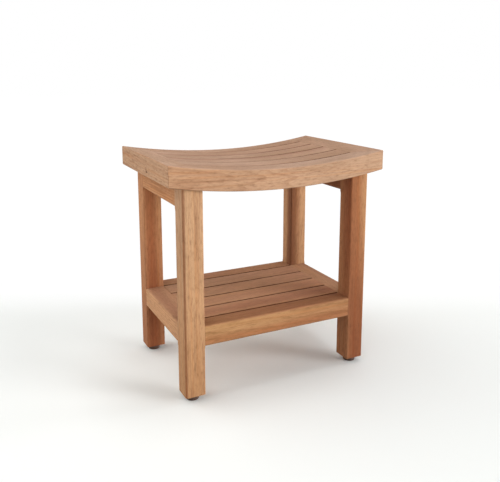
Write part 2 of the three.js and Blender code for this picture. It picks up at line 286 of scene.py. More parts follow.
def look_of(name):
    """Grain and tints of one board.

    In mm from the board's middle: pith is where the rings are centred; heart_and_shade (v, w,
    spread) is the heartwood streak at the high end, and heart_and_shade_low, where there is one,
    the same at the low end; knot_and_shade is (along, v, w, size, darkness, stretch) of a knot. On
    the back-right leg and the right side rail these streaks are painted shade, and on the
    front-right leg partly so; on the back-right leg they make a long dark streak down its near
    corner. seed shifts the grain along, in metres.
    lean and taper are how far the grain leans and its rings widen, for each metre along.
    tint multiplies the whole colour, low and high do so towards the two ends, and left does so
    at the low-v face, more and more towards the high end.
    """
    dice = random.Random("teak " + name)
    look = {
        "seed": dice.uniform(-8, 8),
        "pith": (dice.uniform(-18, 18), -dice.uniform(45, 110)),
        "lean": dice.uniform(-0.02, 0.02),
        "taper": dice.choice((-1, 1)) * dice.uniform(0.01, 0.04),
        "heart_and_shade": (dice.uniform(-30, 30), dice.uniform(-25, 25), dice.uniform(9, 16)),
        "knot_and_shade": (0, 0, -200, 4, 0, 1),
        "tint": (1.0, 1.0, 1.0),
        "low": (1.0, 1.0, 1.0),
        "high": (1.0, 1.0, 1.0),
        "left": (1.0, 1.0, 1.0),
    }
    look.update(LOOKS.get(name, {}))
    return look


def store(mesh, name, kind, values):
    """Stores a value for each vertex, under the name that the wood material reads."""
    layer = mesh.attributes.new(name, kind, "POINT")
    field = "vector" if kind == "FLOAT_VECTOR" else "value"
    layer.data.foreach_set(field, np.asarray(values, np.float32).ravel())


def dress(obj, axis, rect, look, follow=0.0, curved=False, gaps=()):
    """Gives a board its grain, heartwood and knot (in places painted shade), its tint, painted
    shade under its downward edges and at the sides of its gaps, a faint painted highlight on its
    upward edges, and shades it.

    axis is the one that the board runs along. rect is its section (v0, v1, w0, w1, edge radius)
    in the two other axes; in a curved board w is measured from the dished top, and follow is how
    far the grain follows that curve. gaps lists the v of the sides that face a gap.
    """
    mesh = obj.data
    co = np.empty(len(mesh.vertices) * 3, np.float32)
    mesh.vertices.foreach_get("co", co)
    co = co.reshape(-1, 3).astype(float)
    along = co[:, axis]
    v_axis, w_axis = [i for i in range(3) if i != axis]
    v, w = co[:, v_axis], co[:, w_axis].copy()
    if curved:
        w -= np.array([seat_top(min(abs(x), HALF_LENGTH)) for x in along])
    straight = w if not curved else w + (1.0 - follow) * (co[:, w_axis] - w - SEAT_MIDDLE_TOP)
    v0, v1, w0, w1, radius = rect
    middle_v, middle_w = (v0 + v1) / 2, (w0 + w1) / 2
    share = (along - along.min()) / (along.max() - along.min())
    share = (share * share * (3 - 2 * share))[:, None]

    inward = np.maximum(np.minimum(v - v0, v1 - v), np.minimum(w - w0, w1 - w))
    edge = np.clip(1.0 - inward / radius, 0.0, 1.0)
    # Painted shade on the sides of the boards that face a gap.
    gap_shade = np.zeros(len(co))
    for side in gaps:
        depth = np.clip((w1 - w - GAP_SHADE_TOP) / GAP_SHADE_ONSET, 0.0, 1.0)
        depth *= np.clip((w - w1 + GAP_SHADE_BOTTOM) / GAP_SHADE_FADE, 0.0, 1.0)
        gap_shade = np.maximum(gap_shade, np.exp(-np.abs(v - side) / GAP_SHADE_REACH) * depth)

    pith_v, pith_w = look["pith"]
    grain = [
        along + look["seed"],
        v - middle_v - pith_v * MM + look["lean"] * along,
        straight - middle_w - pith_w * MM,
    ]
    heart_and_shade_low, heart_and_shade_high = np.array(look.get("heart_and_shade_low", look["heart_and_shade"])), np.array(look["heart_and_shade"])
    streak_v, streak_w, spread = ((1 - share) * heart_and_shade_low + share * heart_and_shade_high).T
    heart_and_shade = [
        along + look["seed"],
        ((v - middle_v) / MM - streak_v) / spread,
        ((w - middle_w) / MM - streak_w) / spread,
    ]
    spot_at, spot_v, spot_w, spot_size, spot_core, stretch = look["knot_and_shade"]
    knot_and_shade = [
        (along / MM - spot_at) / stretch / spot_size,
        ((v - middle_v) / MM - spot_v) / spot_size,
        ((w - middle_w) / MM - spot_w) / spot_size,
    ]

    low, high, left = (np.array(look[key]) for key in ("low", "high", "left"))
    tint = np.array(look["tint"]) * ((1 - share) * low + share * high)
    left_share = np.clip(1.0 - (v - v0) / radius, 0.0, 1.0)[:, None] * share
    tint = tint * (1 - left_share + left_share * left)

    store(mesh, "grain", "FLOAT_VECTOR", np.stack(grain, axis=1))
    store(mesh, "heart_and_shade", "FLOAT_VECTOR", np.stack(heart_and_shade, axis=1))
    store(mesh, "knot_and_shade", "FLOAT_VECTOR", np.stack(knot_and_shade, axis=1))
    store(mesh, "core", "FLOAT", np.full(len(co), spot_core))
    store(mesh, "tint", "FLOAT_VECTOR", tint)
    store(mesh, "edge", "FLOAT", edge)
    store(mesh, "gap_shade", "FLOAT", gap_shade)
    store(mesh, "taper", "FLOAT", look["taper"] * along)
    shade_smooth(mesh, WOOD_CREASE)
    weighted = obj.modifiers.new("weighted", "WEIGHTED_NORMAL")
    weighted.keep_sharp = True
    weighted.weight = 50


# ------------------------------------------------------------------ wood pieces


def finish_piece(obj, node, material, body=ROOT):
    obj.data.materials.clear()
    obj.data.materials.append(material)
    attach(obj, body)
    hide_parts(node)


def strip_centre(strip):
    """Y of the middle of a strip: 0 is the front rail, 1 to 4 are the slats."""
    return -HALF_DEPTH + STRIP_WIDTH / 2 + strip * STRIP_PITCH


def between(count):
    """Inner marks of the stretch from -1 to 1, parted in count."""
    return [-1 + 2 * (i + 1) / count for i in range(count - 1)]


def mitred_sections(shape, count):
    """Seat frame board from mitre to mitre with eased ends: ((t, setback), outline) pairs."""
    low, high = (
        [
            ((sign, 0.0), shape(EASE)),
            ((sign, EASE_STEP * EASE), shape(EASE_STEP * EASE)),
            ((sign, EASE), shape(0.0)),
        ]
        for sign in (-1, 1)
    )
    return low + [((t, EASE), shape(0.0)) for t in between(count)] + high[::-1]


def tenoned_sections(shape, tongue, shoulder, reach, count, ease=EASE):
    """(metres along the board, outline): tongue, square shoulder, eased board, and back again."""
    half = [
        (-reach, tongue(TONGUE_EASE)),
        (-reach + TONGUE_EASE, tongue(0.0)),
        (-shoulder, tongue(0.0)),
        (-shoulder, shape(ease)),
        (-shoulder + EASE_STEP * ease, shape(EASE_STEP * ease)),
        (-shoulder + ease, shape(0.0)),
    ]
    inner = shoulder - ease
    middle = [(t * inner, shape(0.0)) for t in between(count)]
    return half + middle + [(-x, points) for x, points in reversed(half)]


def spline_socket(bm, sx, sy):
    node = f"corner_spline_{'front' if sy < 0 else 'back'}_{'left' if sx < 0 else 'right'}"
    lo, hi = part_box(node)
    middle = (lo + hi) / 2
    u, v, w = (half + GAP for half in SPLINE_HALF)
    turn = -sx * sy * math.pi / 4
    c, s = math.cos(turn), math.sin(turn)
    for vertex in box_mesh(bm, -u, u, -v, v, -w, w):
        x, y, z = vertex.co
        vertex.co = Vector((x * c - y * s, x * s + y * c, z)) + middle


def seat_rail(name, side, material):
    outer, inner = side * HALF_DEPTH, side * (HALF_DEPTH - STRIP_WIDTH)
    y0, y1 = min(outer, inner), max(outer, inner)
    radii = board_radii(side, SEAT_RADIUS, SLAT_RADIUS)

    def shape(inset):
        return outline(y0, y1, -SEAT_THICKNESS, 0.0, radii, inset)

    def place(p, station):
        t, setback = station
        x = t * (HALF_LENGTH - abs(outer - p[0]) - GAP / 2 - setback)
        return (x, p[0], seat_top(x) + p[1])

    obj = loft(name + "_wood", mitred_sections(shape, CURVED_STATIONS), place)

    def sockets(bm):
        for sx in (-1, 1):
            low, high = dowel_lo.z - GAP, dowel_hi.z + GAP
            cylinder_mesh(bm, DOWEL_RADIUS + GAP, sx * LEG_X, side * DOWEL_Y, low, high)
            spline_socket(bm, sx, side)

    carve(obj, sockets)
    rect = (y0, y1, -SEAT_THICKNESS, 0.0, SEAT_RADIUS)
    dress(obj, 0, rect, look_of(name), follow=0.35, curved=True, gaps=(inner,))
    finish_piece(obj, name, material)


def seat_tongue_cutter(bm, strip, sx, clearance):
    """Curved slab that one tongue of a seat slat fills."""
    y = strip_centre(strip)
    half = STRIP_WIDTH / 2 + clearance
    rise = TONGUE_THICKNESS / 2 + clearance
    near, far = SEAT_INNER_X - 2 * PAST, slat_hi.x + clearance
    for v in box_mesh(bm, sx * near, sx * far, y - half, y + half, -rise, rise):
        v.co.z += seat_top(v.co.x) + SLAT_MIDDLE


def seat_end(name, side, material):
    outer, inner = side * HALF_LENGTH, side * SEAT_INNER_X
    x0, x1 = min(outer, inner), max(outer, inner)
    radii = board_radii(side, SEAT_RADIUS, FLUSH_RADIUS)

    def shape(inset):
        return outline(x0, x1, -SEAT_THICKNESS, 0.0, radii, inset)

    def place(p, station):
        t, setback = station
        y = t * (HALF_DEPTH - abs(outer - p[0]) - GAP / 2 - setback)
        return (p[0], y, seat_top(p[0]) + p[1])

    obj = loft(name + "_wood", mitred_sections(shape, STRAIGHT_STATIONS), place)

    def sockets(bm):
        for strip in SLATS:
            seat_tongue_cutter(bm, strip, side, GAP)
        for sy in (-1, 1):
            spline_socket(bm, side, sy)

    carve(obj, sockets)
    top = seat_top((x0 + x1) / 2)
    dress(obj, 1, (x0, x1, top - SEAT_THICKNESS, top, SEAT_RADIUS), look_of(name))
    finish_piece(obj, name, material)


def slat_shapes(strip, top):
    """Sides y0 and y1 of a slat whose top face is at top, and the shapes of board and tongue."""
    y = strip_centre(strip)
    y0, y1 = y - STRIP_WIDTH / 2, y + STRIP_WIDTH / 2
    middle = top + SLAT_MIDDLE
    low, high = middle - TONGUE_THICKNESS / 2, middle + TONGUE_THICKNESS / 2

    def shape(inset):
        return outline(y0, y1, top - SLAT_THICKNESS, top, [SLAT_RADIUS] * 4, inset)

    def tongue(inset):
        return outline(y0 + 2 * EASE, y1 - 2 * EASE, low, high, [TENON_RADIUS] * 4, inset)

    return y0, y1, shape, tongue


def seat_slat(strip, material):
    name = f"seat_slat_{strip}"
    y0, y1, shape, tongue = slat_shapes(strip, 0.0)

    def place(p, x):
        return (x, p[0], seat_top(x) + p[1])

    shoulder = SEAT_INNER_X - GAP
    sections = tenoned_sections(shape, tongue, shoulder, slat_hi.x, CURVED_STATIONS)
    obj = loft(name + "_wood", sections, place)
    rect = (y0, y1, -SLAT_THICKNESS, 0.0, SLAT_RADIUS)
    dress(obj, 0, rect, look_of(name), follow=0.6, curved=True, gaps=(y0, y1))
    finish_piece(obj, name, material)


def place_along_x(p, x):
    return (x, p[0], p[1])


def shelf_slat(strip, material):
    name = f"shelf_slat_{strip}"
    y0, y1, shape, tongue = slat_shapes(strip, SHELF_TOP)
    shoulder = LEG_INNER_X - GAP
    sections = tenoned_sections(shape, tongue, shoulder, shelf_slat_hi.x, STRAIGHT_STATIONS)
    obj = loft(name + "_wood", sections, place_along_x)
    rect = (y0, y1, SHELF_TOP - SLAT_THICKNESS, SHELF_TOP, SLAT_RADIUS)
    dress(obj, 0, rect, look_of(name), gaps=(y0, y1))
    finish_piece(obj, name, material)


def tenon(middle_u, half, middle_z):
    """Shape of an upright tenon, half wide to either side of middle_u."""
    low, high = middle_z - TENON_HEIGHT / 2, middle_z + TENON_HEIGHT / 2

    def shape(inset):
        return outline(middle_u - half, middle_u + half, low, high, [TENON_RADIUS] * 4, inset)

    return shape


def shelf_rail(name, side, material):
    outer, inner = side * SHELF_OUTER_Y, side * SHELF_INNER_Y
    y0, y1 = min(outer, inner), max(outer, inner)
    radii = board_radii(side, RAIL_RADIUS, SLAT_RADIUS)

    def shape(inset):
        return outline(y0, y1, SHELF_BOTTOM, SHELF_TOP, radii, inset)

    tongue = tenon((y0 + y1) / 2, SHELF_TENON_HALF, SHELF_MIDDLE)
    shoulder, reach = LEG_INNER_X - GAP / 2, shelf_rail_hi.x
    sections = tenoned_sections(shape, tongue, shoulder, reach, STRAIGHT_STATIONS, FLUSH_EASE)
    obj = loft(name + "_wood", sections, place_along_x)
    rect = (y0, y1, SHELF_BOTTOM, SHELF_TOP, RAIL_RADIUS)
    dress(obj, 0, rect, look_of(name), gaps=(inner,))
    finish_piece(obj, name, material)


def side_member(name, side, z0, z1, radii, reach, sloped_top):
    """Board along Y between a front and a back leg, with a tenon at each end, and its section."""
    x0, x1 = side * LEG_X - LEG_HALF, side * LEG_X + LEG_HALF
    middle_z = (z0 + z1) / 2

    def shape(inset):
        return outline(x0, x1, z0, z1, radii, inset)

    def place(p, y):
        z = p[1]
        if sloped_top and z > middle_z + TENON_HEIGHT / 2 + EASE:
            z += seat_top(p[0]) - seat_top(LEG_X)
        return (p[0], y, z)

    tongue = tenon(side * LEG_X, SIDE_TENON_HALF, middle_z)
    shoulder = LEG_INNER_Y - GAP / 2
    sections = tenoned_sections(shape, tongue, shoulder, reach, STRAIGHT_STATIONS, FLUSH_EASE)
    return loft(name + "_wood", sections, place), (x0, x1, z0, z1, RAIL_RADIUS)


def side_rail(name, side, material):
    radii = [RAIL_RADIUS, RAIL_RADIUS, SLAT_RADIUS, SLAT_RADIUS]
    obj, rect = side_member(name, side, SIDE_RAIL_BOTTOM, LEG_TOP, radii, side_rail_hi.y, True)
    dress(obj, 1, rect, look_of(name))
    finish_piece(obj, name, material)


def shelf_end(name, side, material):
    radii = board_radii(side, RAIL_RADIUS, SHELF_END_INNER_RADIUS)
    obj, rect = side_member(name, side, SHELF_BOTTOM, SHELF_TOP, radii, shelf_end_hi.y, False)

    def sockets(bm):
        near, far = side * (LEG_INNER_X - 2 * PAST), side * (shelf_slat_hi.x + GAP)
        middle = SHELF_TOP + SLAT_MIDDLE
        rise = TONGUE_THICKNESS / 2 + GAP
        half = STRIP_WIDTH / 2
        for strip in SLATS:
            y = strip_centre(strip)
            box_mesh(bm, near, far, y - half, y + half, middle - rise, middle + rise)

    carve(obj, sockets)
    dress(obj, 1, rect, look_of(name))
    finish_piece(obj, name, material)


def leg(corner, sx, sy, material):
    name = f"leg_{corner}"
    x, y = sx * LEG_X, sy * LEG_Y
    x0, x1, y0, y1 = x - LEG_HALF, x + LEG_HALF, y - LEG_HALF, y + LEG_HALF

    def shape(inset=0.0, rail=0.0, shelf=0.0):
        """Section with its edges square where a rail (rail=1) or the shelf (shelf=1) is flush."""
        beside_rail = LEG_SIDE_RADIUS + (FLUSH_RADIUS - LEG_SIDE_RADIUS) * max(rail, shelf)
        beside_shelf = LEG_SIDE_RADIUS + (FLUSH_RADIUS - LEG_SIDE_RADIUS) * shelf
        radii = []
        for high_x, high_y in ((0, 0), (1, 0), (1, 1), (0, 1)):
            outer_x, outer_y = (high_x == 1) == (sx > 0), (high_y == 1) == (sy > 0)
            if outer_x and outer_y:
                radii.append(LEG_RADIUS)
            else:
                radii.append(beside_shelf if outer_y else beside_rail)
        return outline(x0, x1, y0, y1, radii, inset)

    sections = [
        (LEG_BOTTOM, shape(EASE)),
        (LEG_BOTTOM + EASE_STEP * EASE, shape(EASE_STEP * EASE)),
        (LEG_BOTTOM + EASE, shape()),
        (LEG_BOTTOM + LEG_STATION, shape()),
        (LEG_BOTTOM + 2 * LEG_STATION, shape()),
    ]
    sections += [(SHELF_BOTTOM + z * MM, shape(shelf=amount)) for z, amount in FLUSH_STEPS]
    sections.append((SHELF_MIDDLE, shape(shelf=1.0)))
    sections += [(SHELF_TOP - z * MM, shape(shelf=amount)) for z, amount in FLUSH_STEPS[::-1]]
    open_length = SIDE_RAIL_BOTTOM - SHELF_TOP - 2 * FLUSH_REACH
    for i in range(1, LEG_PARTS):
        sections.append((SHELF_TOP + FLUSH_REACH + open_length * i / LEG_PARTS, shape()))
    sections += [(SIDE_RAIL_BOTTOM + z * MM, shape(rail=amount)) for z, amount in FLUSH_STEPS]
    sections += [(SIDE_RAIL_MIDDLE, shape(rail=1.0)), (LEG_TOP, shape(rail=1.0))]

    def place(p, z):
        if z == LEG_TOP:
            z += seat_top(p[0]) - seat_top(LEG_X)
        return (p[0], p[1], z)

    obj = loft(name + "_wood", sections, place)

    def sockets(bm):
        rise = TENON_HEIGHT / 2 + GAP
        half = SIDE_TENON_HALF + GAP
        for middle, reach in ((SHELF_MIDDLE, shelf_end_hi.y), (SIDE_RAIL_MIDDLE, side_rail_hi.y)):
            near, far = sy * (LEG_INNER_Y - PAST), sy * (reach + GAP)
            box_mesh(bm, x - half, x + half, near, far, middle - rise, middle + rise)
        half = SHELF_TENON_HALF + GAP
        near, far = sx * (LEG_INNER_X - PAST), sx * (shelf_rail_hi.x + GAP)
        rail_y = sy * (SHELF_INNER_Y + SHELF_OUTER_Y) / 2
        low, high = SHELF_MIDDLE - rise, SHELF_MIDDLE + rise
        box_mesh(bm, near, far, rail_y - half, rail_y + half, low, high)
        low, high = dowel_lo.z - GAP, LEG_TOP + 10 * PAST
        cylinder_mesh(bm, DOWEL_RADIUS + GAP, x, sy * DOWEL_Y, low, high)
        low, high = LEG_BOTTOM - PAST, stud_hi.z + STUD_HEADROOM
        cylinder_mesh(bm, INSERT_RADIUS + GAP, x, y, low, high)

    carve(obj, sockets)
    dress(obj, 2, (x0, x1, y0, y1, LEG_RADIUS), look_of(name))
    finish_piece(obj, name, material)


# ------------------------------------------------------------------ feet

PAD_AROUND = 64
PAD_CREASE = 40
PAD_LOWER_RADIUS = 2.5 * MM
PAD_UPPER_RADIUS = 1.0 * MM
PAD_ARC_STEPS = 8

THREAD_AROUND = 32
THREAD_PER_TURN = 8
THREAD_CREASE = 50
THREAD_PITCH = 1.25 * MM
THREAD_DEPTH = 0.65 * MM
THREAD_CHAMFER = 0.9 * MM
# Shape of the ridge's flanks: 1 is straight, less rounds the root.
THREAD_FLANK = 0.8


def ring(bm, x, y, z, radii):
    """Vertices round a vertical axis, one for each radius."""
    angles = [2 * math.pi * i / len(radii) for i in range(len(radii))]
    return [
        bm.verts.new((x + r * math.cos(a), y + r * math.sin(a), z)) for r, a in zip(radii, angles)
    ]


def bridge(bm, rings):
    """Faces between each ring and the next; a ring of one vertex is a point on the axis."""
    for low, high in zip(rings, rings[1:]):
        around = max(len(low), len(high))
        for i in range(around):
            j = (i + 1) % around
            if len(low) == 1:
                bm.faces.new((low[0], high[j], high[i]))
            elif len(high) == 1:
                bm.faces.new((low[i], low[j], high[0]))
            else:
                bm.faces.new((low[i], low[j], high[j], high[i]))


def round_object(bm, name, crease):
    """New smooth object from bm, which is used up."""
    bmesh.ops.recalc_face_normals(bm, faces=bm.faces)
    obj = object_from(bm, bpy.data.meshes.new(name))
    shade_smooth(obj.data, crease)
    return obj


def turned(name, profile, x, y):
    """Closed turned body from (radius, height) points that start and end on the axis."""
    bm = bmesh.new()
    bridge(bm, [ring(bm, x, y, z, [r] * (PAD_AROUND if r > 0.0 else 1)) for r, z in profile])
    return round_object(bm, name, PAD_CREASE)


def threaded(name, x, y):
    """Stud with a real helical ridge."""
    low, high = stud_lo.z, stud_hi.z
    count = int((high - low) / THREAD_PITCH * THREAD_PER_TURN)
    bm = bmesh.new()
    rings = []
    for k in range(count + 1):
        z = low + (high - low) * k / count
        limit = STUD_RADIUS - max(0.0, THREAD_CHAMFER - min(z - low, high - z))
        radii = []
        for i in range(THREAD_AROUND):
            phase = ((z / THREAD_PITCH) - i / THREAD_AROUND) % 1.0
            ridge = STUD_RADIUS - THREAD_DEPTH * abs(2 * phase - 1) ** THREAD_FLANK
            radii.append(min(ridge, limit))
        rings.append(ring(bm, x, y, z, radii))
    bridge(bm, rings)
    bm.faces.new(rings[0][::-1])
    bm.faces.new(rings[-1])
    return round_object(bm, name, THREAD_CREASE)


def round_corner(cr, cz, r, start):
    """Quarter circle of (radius, height) points round (cr, cz)."""
    angles = [start + math.pi / 2 * i / PAD_ARC_STEPS for i in range(PAD_ARC_STEPS + 1)]
    return [(cr + r * math.cos(a), cz + r * math.sin(a)) for a in angles]


def foot(corner, sx, sy, plastic, steel):
    x, y = sx * LEG_X, sy * LEG_Y
    radius, height = (pad_hi.x - pad_lo.x) / 2, pad_hi.z
    lower, upper = PAD_LOWER_RADIUS, PAD_UPPER_RADIUS
    socket, socket_floor = STUD_RADIUS + GAP, stud_lo.z - GAP
    profile = [(0.0, 0.0)]
    profile += round_corner(radius - lower, lower, lower, -math.pi / 2)
    profile += round_corner(radius - upper, height - upper, upper, 0.0)
    profile += [(socket, height), (socket, socket_floor), (0.0, socket_floor)]
    pad = turned(f"foot_pad_{corner}_moulded", profile, x, y)
    finish_piece(pad, f"foot_pad_{corner}", plastic, f"foot_{corner}")
    stud = threaded(f"foot_stud_{corner}_thread", x, y)
    finish_piece(stud, f"foot_stud_{corner}", steel, f"foot_{corner}")


# ------------------------------------------------------------------ materials


class Nodes:
    """Short way to write the node tree of a new material or world."""

    def __init__(self, owner):
        owner.use_nodes = True
        self.owner = owner
        self.tree = owner.node_tree
        self.tree.nodes.clear()

    def add(self, kind, inputs=None, **settings):
        node = self.tree.nodes.new(kind)
        for key, value in settings.items():
            setattr(node, key, value)
        for key, value in (inputs or {}).items():
            self.feed(node.inputs[key], value)
        return node

    def feed(self, socket, value):
        if hasattr(value, "is_output"):
            self.tree.links.new(value, socket)
        else:
            socket.default_value = value

    def math(self, operation, a, b=0.0, clamp=False):
        node = self.add("ShaderNodeMath", {0: a, 1: b}, operation=operation, use_clamp=clamp)
        return node.outputs[0]

    def vector(self, operation, a, b=(0, 0, 0), scale=None):
        node = self.add("ShaderNodeVectorMath", {0: a, 1: b}, operation=operation)
        if scale is not None:
            self.feed(node.inputs["Scale"], scale)
        return node.outputs["Value" if operation in ("LENGTH", "DOT_PRODUCT") else "Vector"]

    def noise(self, vector, scale, detail=2.0, roughness=0.5, output="Fac"):
        """Noise on the vector after it is multiplied by scale, a number for each axis."""
        stretched = self.vector("MULTIPLY", vector, scale)
        inputs = {"Vector": stretched, "Scale": 1.0, "Detail": detail, "Roughness": roughness}
        return self.add("ShaderNodeTexNoise", inputs).outputs[output]

    def sway(self, vector, scale, width):
        """Noisy offset across the grain, width wide."""
        offset = self.noise(vector, scale, output="Color")
        offset = self.vector("SUBTRACT", offset, (0.5, 0.5, 0.5))
        return self.vector("MULTIPLY", offset, (0.0, width, width))

    def from_axis(self, vector):
        """Distance of a point from the grain's own axis."""
        return self.vector("LENGTH", self.vector("MULTIPLY", vector, (0.0, 1.0, 1.0)))

    def ramp(self, value, low, high, out_low=0.0, out_high=1.0, smooth=True):
        limits = {"From Min": low, "From Max": high, "To Min": out_low, "To Max": out_high}
        kind = "SMOOTHSTEP" if smooth else "LINEAR"
        node = self.add("ShaderNodeMapRange", {"Value": value, **limits}, interpolation_type=kind)
        return node.outputs["Result"]

    def mix(self, factor, a, b, blend="MIX"):
        node = self.add("ShaderNodeMix", data_type="RGBA", blend_type=blend)
        self.feed(node.inputs[0], factor)
        self.feed(node.inputs[6], a)
        self.feed(node.inputs[7], b)
        return node.outputs[2]

    def attribute(self, name, output="Fac"):
        return self.add("ShaderNodeAttribute", attribute_name=name).outputs[output]

    def geometry(self, output):
        return self.add("ShaderNodeNewGeometry").outputs[output]

    def bump(self, strength, distance, height):
        inputs = {"Strength": strength, "Distance": distance, "Height": height}
        return self.add("ShaderNodeBump", inputs).outputs[0]

    def principled(self, inputs):
        """Makes a principled shader the surface, and returns the material."""
        shader = self.add("ShaderNodeBsdfPrincipled", inputs)
        self.add("ShaderNodeOutputMaterial", {"Surface": shader.outputs[0]})
        return self.owner


def rgb(r, g, b):
    """sRGB bytes to a linear colour."""

    def linear(c):
        c /= 255.0
        return c / 12.92 if c <= 0.04045 else ((c + 0.055) / 1.055) ** 2.4

    return (linear(r), linear(g), linear(b), 1.0)


RING_WIDTH = 5.0 * MM
WOOD_ROUGHNESS = 0.74
WARM_SHADE = (1.0, 0.88, 0.76)
KNOT_AND_SHADE_COLOR = (0.45, 0.40, 0.38)
GAP_SHADE_COLOR = (0.16, 0.10, 0.07)


def wood(name, pale, dark, heart_and_shade, painted_top, lines, mottle=0.1):
    """Oiled teak. lines is how strong the growth rings show, mottle how patchy the figure is."""
    n = Nodes(bpy.data.materials.new(name))
    grain = n.attribute("grain", "Vector")
    edge = n.attribute("edge")

    # Growth rings: distance from the pith, bent by drift and wander, swollen round the
    # knot_and_shade spot.
    drift = n.sway(grain, (2.6, 11.0, 11.0), 20.0 * MM)
    wander = n.sway(grain, (14.0, 70.0, 70.0), 3.5 * MM)
    bent = n.vector("ADD", n.vector("ADD", grain, drift), wander)
    radius = n.math("ADD", n.from_axis(bent), n.attribute("taper"))
    knot_and_shade = n.vector("ADD", n.attribute("knot_and_shade", "Vector"), n.vector("SCALE", wander, scale=250.0))
    knot_and_shade = n.vector("LENGTH", knot_and_shade)
    swell = n.math("EXPONENT", n.math("MULTIPLY", n.math("MULTIPLY", knot_and_shade, knot_and_shade), -0.12))
    radius = n.math("ADD", radius, n.math("MULTIPLY", swell, 1.7 * RING_WIDTH))
    uneven = n.noise(bent, (0.8, 45.0, 45.0), 1.0)
    count = n.math("ADD", n.math("DIVIDE", radius, RING_WIDTH), n.math("MULTIPLY", uneven, 2.4))
    phase = n.math("FRACT", count)
    ring_end = n.math("SUBTRACT", 1.0, n.ramp(phase, 0.94, 1.0))
    late = n.math("MULTIPLY", n.ramp(phase, 0.45, 0.92), ring_end)

    # Figure along the grain, from broad bands down to single pores.
    band = n.noise(grain, (1.1, 30.0, 30.0))
    blotch = n.noise(grain, (6.0, 16.0, 16.0))
    warmth = n.noise(grain, (3.0, 150.0, 150.0), 3.0, 0.6)
    streak = n.noise(grain, (6.0, 170.0, 170.0), 4.0, 0.60)
    patch = n.noise(grain, (70.0, 280.0, 280.0), 3.0, 0.65)
    fibre = n.noise(grain, (24.0, 520.0, 520.0), 3.0, 0.65)
    pore = n.ramp(n.noise(grain, (70.0, 2400.0, 2400.0), 1.0), 0.60, 0.70)

    # Colour: heartwood, warm streaks, rings and dark lines and the knot, the heartwood and knot
    # streaks being painted shade on a few boards, and the upward faces in a painted sheen and shade
    # colour.
    streak_field = n.vector("ADD", n.attribute("heart_and_shade", "Vector"), n.vector("SCALE", drift, scale=45.0))
    core = n.ramp(n.from_axis(streak_field), 0.35, 1.45, 1.0, 0.0)
    core = n.math("MAXIMUM", core, n.ramp(band, 0.58, 0.76, 0.0, 0.55))
    color = n.mix(core, pale, heart_and_shade)
    warm = n.ramp(warmth, 0.50, 0.68, 0.0, 0.9)
    color = n.mix(warm, color, n.vector("MULTIPLY", color, WARM_SHADE))
    darkness = n.math("MULTIPLY", late, n.ramp(blotch, 0.3, 0.7, 0.55 * lines, 1.1 * lines))
    darkness = n.math("ADD", darkness, n.ramp(streak, 0.48, 0.76, 0.0, 0.5))
    darkness = n.math("ADD", darkness, n.ramp(patch, 0.52, 0.74, 0.0, 2.2 * mottle), clamp=True)
    color = n.mix(darkness, color, dark)
    # Dark core of the knot; on the back-right leg it is a long painted shadow down the near corner.
    core_dark = n.math("MULTIPLY", n.ramp(knot_and_shade, 0.35, 1.1, 1.0, 0.0), n.attribute("core"))
    dark_spot_color = [d * shade for d, shade in zip(dark, KNOT_AND_SHADE_COLOR)] + [1.0]
    color = n.mix(core_dark, color, dark_spot_color)
    # Painted sheen and shade: upward faces take the painted_top colour, paler and greyer on the
    # seat and shelf, darker on the rails and legs.
    up = n.add("ShaderNodeSeparateXYZ", {0: n.geometry("Normal")}).outputs["Z"]
    painted_top_share = n.math("MULTIPLY", n.ramp(up, 0.35, 0.95), n.ramp(blotch, 0.3, 0.7, 0.38, 0.64))
    color = n.mix(painted_top_share, color, painted_top)

    # Light and dark: figure, pores, painted shade under downward edges with a faint painted
    # highlight on upward ones, the board's tint, and painted shade at the sides of the gaps.
    value = n.ramp(patch, 0.25, 0.75, 1.0 + mottle, 1.0 - mottle, smooth=False)
    value = n.math("MULTIPLY", value, n.ramp(fibre, 0.25, 0.75, 0.90, 1.10, smooth=False))
    value = n.math("MULTIPLY", value, n.ramp(blotch, 0.25, 0.75, 0.95, 1.05))
    value = n.math("MULTIPLY", value, n.math("SUBTRACT", 1.0, n.math("MULTIPLY", pore, 0.20)))
    # Painted shade darkens edges that face down, and a faint painted highlight lightens those that
    # face up.
    edge_shade_and_highlight = n.math("MULTIPLY", edge, n.ramp(up, -0.95, 0.25, -0.40, 0.05))
    value = n.math("MULTIPLY", value, n.math("ADD", 1.0, edge_shade_and_highlight))
    tint = n.vector("SCALE", n.attribute("tint", "Vector"), scale=value)
    color = n.mix(1.0, color, tint, "MULTIPLY")
    # Painted shade: the sides that face a gap are darkened almost to this dark brown.
    gap_shaded = n.vector("MULTIPLY", color, GAP_SHADE_COLOR)
    color = n.mix(n.math("MULTIPLY", n.attribute("gap_shade"), 0.97), color, gap_shaded)

    gloss = n.math("ADD", WOOD_ROUGHNESS, n.math("MULTIPLY", pore, 0.15))
    gloss = n.math("ADD", gloss, n.ramp(fibre, 0.2, 0.8, -0.05, 0.07))
    gloss = n.math("SUBTRACT", gloss, n.math("MULTIPLY", edge, 0.05))
    height = n.math("ADD", n.math("MULTIPLY", fibre, 0.35), n.math("MULTIPLY", late, 0.10))
    height = n.math("SUBTRACT", height, n.math("MULTIPLY", pore, 0.55))
    normal = n.bump(0.5, 0.15 * MM, height)
    return n.principled(
        {"Base Color": color, "Roughness": gloss, "Normal": normal, "Specular IOR Level": 0.1}
    )


